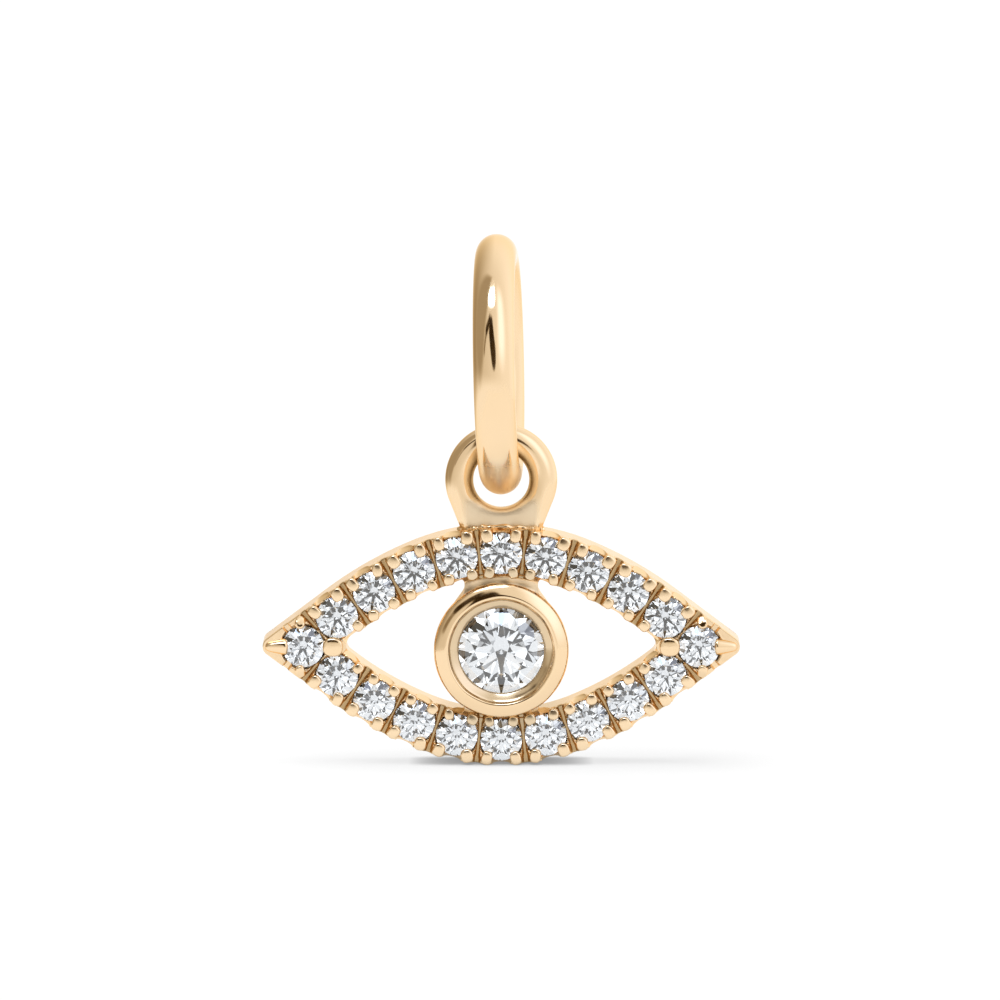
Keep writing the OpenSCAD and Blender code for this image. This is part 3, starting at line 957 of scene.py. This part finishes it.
# %% [markdown]
# ## The loop
# The loop is a bent wire whose foot was filled with solder, so it stands on the lid with
# straight sides instead of pinching in. A ring and a block would show a seam. One ring
# makes both: round the top its outer side is a circle, and below that it follows the
# straight sides and then a line inside the lid. The foot is satin and paler with painted
# light, and the hole is dull and greyed with painted shade.

# %% The loop and its foot
LOOP_R, LOOP_WIRE_R = 1.0, 0.335
LOOP_SUNK = 0.23  # how deep in the lid the circle would end
FOOT_UP = 0.08  # how much higher the foot really ends
NECK_ANGLE = math.radians(22)
SQUARE_FROM, SQUARE_TO = math.radians(15), math.radians(55)
HOLE_WALL = (0.90, 0.74)  # from the middle of the hole
FOOT_DOWN, FOOT_SIDE, FOOT_SATIN_LIGHT = (-0.35, -0.6), (1.0, 0.72), 0.9
loop_out = LOOP_R + LOOP_WIRE_R
loop_y = eye_h / 2 + half_w + loop_out - LOOP_SUNK


def loop_surface(n_ring=260, n_wire=72):
    """Round the ring, the outer side is r, r / cos(a - neck), or the foot's line over sin a.

    The wire's section is a circle at the top. Below, its cos and sin get powers down to a
    half, which makes it square.
    """
    a = full_turn(n_ring)[:, None] - np.pi / 2
    b = full_turn(n_wire)[None, :]
    under = np.arcsin(np.clip(-np.sin(a), -1, 1))
    past = np.clip(under - NECK_ANGLE, 0, None)
    straight = loop_out / np.cos(past)
    foot = (loop_out - FOOT_UP) / np.maximum(np.sin(under), 1e-6)
    outer = np.where(under > 0.02, np.minimum(straight, foot), straight)
    inner = LOOP_R - LOOP_WIRE_R
    mid, half = (outer + inner) / 2, (outer - inner) / 2
    square = 1 - 0.5 * ramp(under, SQUARE_FROM, SQUARE_TO)
    r = mid + half * power(np.cos(b), square)
    z = LOOP_WIRE_R * power(np.sin(b), square)
    return np.stack([r * np.cos(a), loop_y + r * np.sin(a), z], -1)


loop_points = loop_surface()
loop = make_mesh("loop", hang(loop_points), grid_faces(*loop_points.shape[:2]), smooth_angle=60)


def hole_side(place):
    """Painted shade on the wall of the hole, by the distance from the hole's middle."""
    return ramp(np.hypot(place[:, 0], place[:, 1] - loop_y), *HOLE_WALL)


def filled_foot(place):
    """The foot below the hole, where solder filled the wire's bend."""
    return ramp(place[:, 1] - loop_y, *FOOT_DOWN) * ramp(np.abs(place[:, 0]), *FOOT_SIDE)


# painted shade in the hole, and satin paler with painted light on the foot
paint(loop, "shade", hole_side)
paint(loop, "rub_and_light", lambda place: FOOT_SATIN_LIGHT * filled_foot(place))
finish_piece(loop, polished)

# %% [markdown]
# ## Solder round the loop's foot
# Where the loop meets the lid, solder stands in the corner as a thin, uneven bead. A bump
# in the material could hint at it, but it shows in the outline. So it is a thin tube along
# the foot's outline.

# %% Solder round the foot of the loop
SIDE_DROP = 0.605  # how far down the straight sides the lid begins
SEAM_R, SEAM_UNEVEN, SEAM_RISE = 0.05, 0.018, 0.012


def solder_surface(n_long=220, n_round=14):
    """A circle carried along the foot's outline, thicker and thinner by sines.

    The outline is a rounded oblong, cos and sin with powers under one, on the brow's arc.
    """
    a = full_turn(n_long)[:, None]
    b = full_turn(n_round)[None, :]
    half_foot = loop_out * math.cos(NECK_ANGLE) - SIDE_DROP * math.tan(NECK_ANGLE)
    x = half_foot * power(np.cos(a), 0.75)
    z = LOOP_WIRE_R * power(np.sin(a), 0.65)
    uneven = np.sin(7 * a + 1) * np.sin(11 * a) + 0.6 * np.sin(29 * a + 2)
    thick = SEAM_R + SEAM_UNEVEN * uneven
    y = brow_c[1] + np.sqrt((BROW_R + half_w) ** 2 - x**2) + SEAM_RISE * np.sin(17 * a)
    away = np.stack([np.cos(a) / half_foot, np.sin(a) / LOOP_WIRE_R], -1)
    away = away / np.linalg.norm(away, axis=-1, keepdims=True)
    out = thick * np.cos(b)
    return np.stack([x + out * away[..., 0], y + thick * np.sin(b), z + out * away[..., 1]], -1)


solder_points = solder_surface()
seam_faces = grid_faces(*solder_points.shape[:2])
seam = make_mesh("solder_seam", hang(solder_points), seam_faces, smooth_angle=80)
finish_piece(seam, cut_gold)

# %% [markdown]
# ## Diamonds
# The stones keep their solids, because a brilliant is nothing but flat cuts, and only the
# finish is new. A diamond bends light far more than glass, so nearly all that enters the top
# comes back out of it. A faint cold tint is mixed in place by place.

# %% The diamonds
DIAMOND_TINTS = (0.90, 0.945, 0.99, 1), (0.95, 0.975, 1.0, 1)
DIAMOND_IOR = 2.417


def diamond_finish():
    """A clear, perfectly smooth body that bends light as diamond does."""
    finish, add, place = empty_finish("diamond")
    tint = drifting(add, place, 900.0, 2.0, DIAMOND_TINTS)[1]
    shader = add("BsdfPrincipled", {
        "Base Color": tint, "Roughness": 0.0, "IOR": DIAMOND_IOR, "Transmission Weight": 1.0,
    })
    add("OutputMaterial", {"Surface": shader.outputs["BSDF"]})
    return finish


diamond = diamond_finish()
for node in STONES + ["centre_stone"]:
    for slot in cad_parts[node].material_slots:
        slot.material = diamond
print("stones with the diamond finish:", len(STONES) + 1)

# %% [markdown]
# ## Light
# Polished metal shows its surroundings and little else. A jewel is photographed in a white
# tent, and the dark lines on the gold are the tent's gaps and edges. Lamps and cards could
# stand round the scene, but in the world's nodes each edge is just as soft as its line on
# the gold asks. Places in the tent are in degrees, across to the right and above.

# %% The light tent: where a ray goes, and a strip
world = bpy.data.worlds.new("light tent")
world.use_nodes = True
bpy.context.scene.world = world
tree = world.node_tree
tree.nodes.clear()
add = node_maker(tree)


def maths(operation, a, b=0.0, clamp=False):
    """A Math node's result for one or two inputs."""
    return add("Math", {0: a, 1: b}, operation=operation, use_clamp=clamp).outputs[0]


split = add("SeparateXYZ", {0: add("TexCoord").outputs["Generated"]}).outputs
toward = maths("MULTIPLY", split["Y"], -1.0)
across = maths("MULTIPLY", maths("ARCTAN2", split["X"], toward), 180 / math.pi)
above = maths("MULTIPLY", maths("ARCSINE", split["Z"]), 180 / math.pi)
aim = add("CombineXYZ", {"X": across, "Y": above}).outputs[0]


def strip(light, value, start, end, width, soft):
    """A strip of this brightness over the light, from start to end, in degrees.

    The nearest place on its line is start plus t times d, with t from 0 to 1. The strip covers
    what is nearer to it than half its width, and fades over the softness.
    """
    d = (end[0] - start[0], end[1] - start[1], 0)
    off = add("VectorMath", {0: aim, 1: (*start, 0)}, operation="SUBTRACT").outputs[0]
    dot = add("VectorMath", {0: off, 1: d}, operation="DOT_PRODUCT").outputs["Value"]
    t = maths("DIVIDE", dot, d[0] ** 2 + d[1] ** 2, clamp=True)
    there = add("VectorMath", {0: d, "Scale": t}, operation="SCALE").outputs[0]
    gap = add("VectorMath", {0: off, 1: there}, operation="DISTANCE").outputs["Value"]
    fade = (width + soft, max(width - soft, 0))
    mask = rescaled(add, gap, fade, interpolation_type="SMOOTHSTEP")
    return add("Mix", {0: mask, 2: light, 3: value}).outputs[0]


print("nodes so far:", len(tree.nodes))

# %% The tent's cloth, panels and gaps, as the gold sees them
LEFT_CLOTH, RIGHT_CLOTH = 0.72, 1.02
BEHIND, BEHIND_LEFT = 0.24, 1.1  # how much lighter behind the jewel, and darker to its left
FLOOR_GLOW, FLOOR_EDGE = 1.04, (-0.06, -0.28)
GOLD_STRIPS = [  # brightness, start, end, half the width, softness
    (0.40, (-86, 22), (-80, 52), 30, 8),  # the dim side of the room
    (1.33, (50, 26), (54, 46), 20, 14),  # a wide bright panel on the right
    (0.25, (-45, 29), (-54, 12), 3, 2),  # a grey seam
    (0.04, (-26, 44), (-45, 30), 5, 2),  # the tent's open side, from its edge to its middle
    (0.03, (-15, 35), (-1, 15), 13, 2),
    (0.05, (-1, 15), (1, 11), 11, 2),
]
light = rescaled(add, split["X"], (-1, 1), (LEFT_CLOTH, RIGHT_CLOTH))
behind = maths("MAXIMUM", split["Y"], 0.0)
left = maths("MINIMUM", split["X"], 0.0)
lift = maths("ADD", maths("MULTIPLY", left, BEHIND_LEFT), BEHIND)
light = maths("ADD", light, maths("MULTIPLY", behind, lift))
floor_share = rescaled(add, split["Z"], FLOOR_EDGE, interpolation_type="SMOOTHSTEP")
light = add("Mix", {0: floor_share, 2: light, 3: FLOOR_GLOW}).outputs[0]
for row in GOLD_STRIPS:
    light = strip(light, *row)
print("strips for the gold:", len(GOLD_STRIPS))

# %% [markdown]
# ## What the stones see
# A brilliant needs hard contrasts where gold needs soft ones, so a photographer lights them
# apart. Here a ray that has passed through a stone sees the same tent a little brighter and
# colder, with crisper strips.

# %% The tent as the stones see it
STONE_GAIN = 1.12
STONE_RED, STONE_BLUE = 0.985, 1.02
STONE_STRIPS = [
    (0.02, (-8, -10), (8, 32), 14, 4),  # the dark round the lens
    (0.05, (46, -18), (44, 50), 6, 3),  # a black card on each side
    (0.05, (-58, -20), (-70, 40), 6, 3),
    (2.2, (26, -6), (24, 62), 7, 4),  # a lamp inside each card
    (2.2, (-30, -30), (-26, 20), 7, 4),
]
crisp = maths("MULTIPLY", light, STONE_GAIN)
for row in STONE_STRIPS:
    crisp = strip(crisp, *row)
red, blue = maths("MULTIPLY", crisp, STONE_RED), maths("MULTIPLY", crisp, STONE_BLUE)
cold = add("CombineXYZ", {"X": red, "Y": crisp, "Z": blue}).outputs[0]
print("strips for the stones:", len(STONE_STRIPS))

# %% [markdown]
# ## The colour of the light
# Photographed gold goes from near white to a deep brown, more than one base colour can
# give, and darks in the base colour would not move as the pendant turns. So the tent is
# warmer where it is darker: its blue and green fall faster than its red.

# %% Warm darks, a lamp overhead, and the world
LAMP = (5.0, (-44, 64), (8, 69), 9, 3)
BLUE_FALL, BLUE_RISE, BLUE_MOST = 1.5, 0.2, 1.5
GREEN_FALL, GREEN_MOST = 1.17, 1.2
BACKDROP = 1.05
light = strip(light, *LAMP)
over = maths("MAXIMUM", light, 1.0)
blue = maths("POWER", light, BLUE_FALL)
blue = maths("MULTIPLY", blue, maths("POWER", over, BLUE_RISE))
blue = maths("MINIMUM", blue, maths("MULTIPLY", light, BLUE_MOST))
green = maths("POWER", light, GREEN_FALL)
green = maths("MINIMUM", green, maths("MULTIPLY", light, GREEN_MOST))
warm = add("CombineXYZ", {"X": light, "Y": green, "Z": blue}).outputs[0]
path = add("LightPath").outputs
tent = add("Mix", {0: path["Is Transmission Ray"], 6: warm, 7: cold}, data_type="RGBA")
shine = add("Background", {"Color": tent.outputs[2], "Strength": 1.0}).outputs[0]
plain = add("Background", {"Color": (1, 1, 1, 1), "Strength": BACKDROP}).outputs[0]
both = add("MixShader", {0: path["Is Camera Ray"], 1: shine, 2: plain})
add("OutputWorld", {"Surface": both.outputs[0]})
world.cycles_visibility.diffuse = False
print("nodes in the light tent:", len(tree.nodes))

# %% [markdown]
# ## The light from overhead
# The jewel's shadow on the table is soft and pale. The tent could throw it, but then every
# strip would change it. So one very wide lamp does, which the gold and stones don't mirror.

# %% The light from overhead
OVERHEAD_WIDE, OVERHEAD_LEAN = 80, 17  # degrees
key_light = bpy.data.lights.new("key light", "SUN")
key_light.angle = math.radians(OVERHEAD_WIDE)
key_light.energy = 1.0
key = bpy.data.objects.new("key light", key_light)
key.rotation_euler = (0, -math.radians(OVERHEAD_LEAN), 0)
key.visible_glossy = key.visible_transmission = False
bpy.context.collection.objects.link(key)
print("the light from overhead is", OVERHEAD_WIDE, "degrees wide")

# %% [markdown]
# ## The table
# The pendant stands on a white table that runs out of sight. Light alone would leave it
# grey, so it also glows and comes out pure white. Close to the jewel the glow is dimmed, a
# painted contact shadow that leaves the thin dark line where the two touch.

# %% The table
TABLE = [(-18, -30), (45, -30), (45, 60), (-18, 60)]
PAPER_TONES = (0.80, 0.80, 0.80, 1), (0.82, 0.82, 0.82, 1)
SHADOW_REACH = 0.42
SHADOW_GLOW, FULL_GLOW = 0.28, 0.81
floor_z = solid_box[0][2] / MM
table_points = np.array([(x, y, floor_z) for x, y in TABLE])
table = make_mesh("table", table_points, np.array([[0, 1, 2, 3]]))
paper, add, place = empty_finish("white paper")
tone = drifting(add, place, 900.0, 2.0, PAPER_TONES)[1]
# painted contact shadow: the glow is dimmed where the jewel closes the table in
near = add("AmbientOcclusion", {"Distance": SHADOW_REACH * MM}, samples=8)
glow = rescaled(add, near.outputs["AO"], (0, 1), (SHADOW_GLOW, FULL_GLOW))
shader = add("BsdfPrincipled", {
    "Base Color": tone, "Roughness": 0.9, "Specular IOR Level": 0.0,
    "Emission Color": (1, 1, 1, 1), "Emission Strength": glow,
})
add("OutputMaterial", {"Surface": shader.outputs["BSDF"]})
table.data.materials.append(paper)
table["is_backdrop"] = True
print(f"the table lies at {floor_z:.2f} mm")

# %% [markdown]
# ## The camera and the view
# A long lens looks slightly down from a fair distance, which keeps the lids nearly free of
# perspective. Light bounces often inside the stones and a few times between the gold
# surfaces, and the limits allow for that.

# %% The camera and the view
PX_PER_MM, FRAME_PX = 42.0, 1000
SENSOR_W = 36
VIEW_UP = math.radians(6)
CAMERA_AWAY = 0.30
AIM_X, AIM_UP = -0.03, 3.43  # from the middle of the eye, in millimetres
STONE_BOUNCES, GOLD_BOUNCES = 14, 4
target = np.array([eye_x + AIM_X, 0, eye_z + AIM_UP]) * MM
camera_data = bpy.data.cameras.new("camera")
camera_data.sensor_width = SENSOR_W
camera_data.lens = SENSOR_W * CAMERA_AWAY / (FRAME_PX / PX_PER_MM * MM)
camera_data.clip_start, camera_data.clip_end = 0.01, 10
camera = bpy.data.objects.new("camera", camera_data)
camera.location = target + CAMERA_AWAY * np.array([0, -math.cos(VIEW_UP), math.sin(VIEW_UP)])
camera.rotation_euler = (math.pi / 2 - VIEW_UP, 0, 0)
bpy.context.collection.objects.link(camera)
scene = bpy.context.scene
scene.camera = camera
scene.view_settings.view_transform = "Standard"
scene.cycles.diffuse_bounces = 0
scene.cycles.max_bounces = scene.cycles.transmission_bounces = STONE_BOUNCES
scene.cycles.glossy_bounces = GOLD_BOUNCES
print(f"lens {camera_data.lens:.0f} mm")

# %% [markdown]
# ## Sizes and the end
# The box of the solids and the box of the visual model are printed.

# %% Sizes and the end
boxes = {"solids": solid_box, "visual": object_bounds()}
boxes = {name: [[float(v) for v in corner] for corner in box] for name, box in boxes.items()}
print("boxes:", boxes)
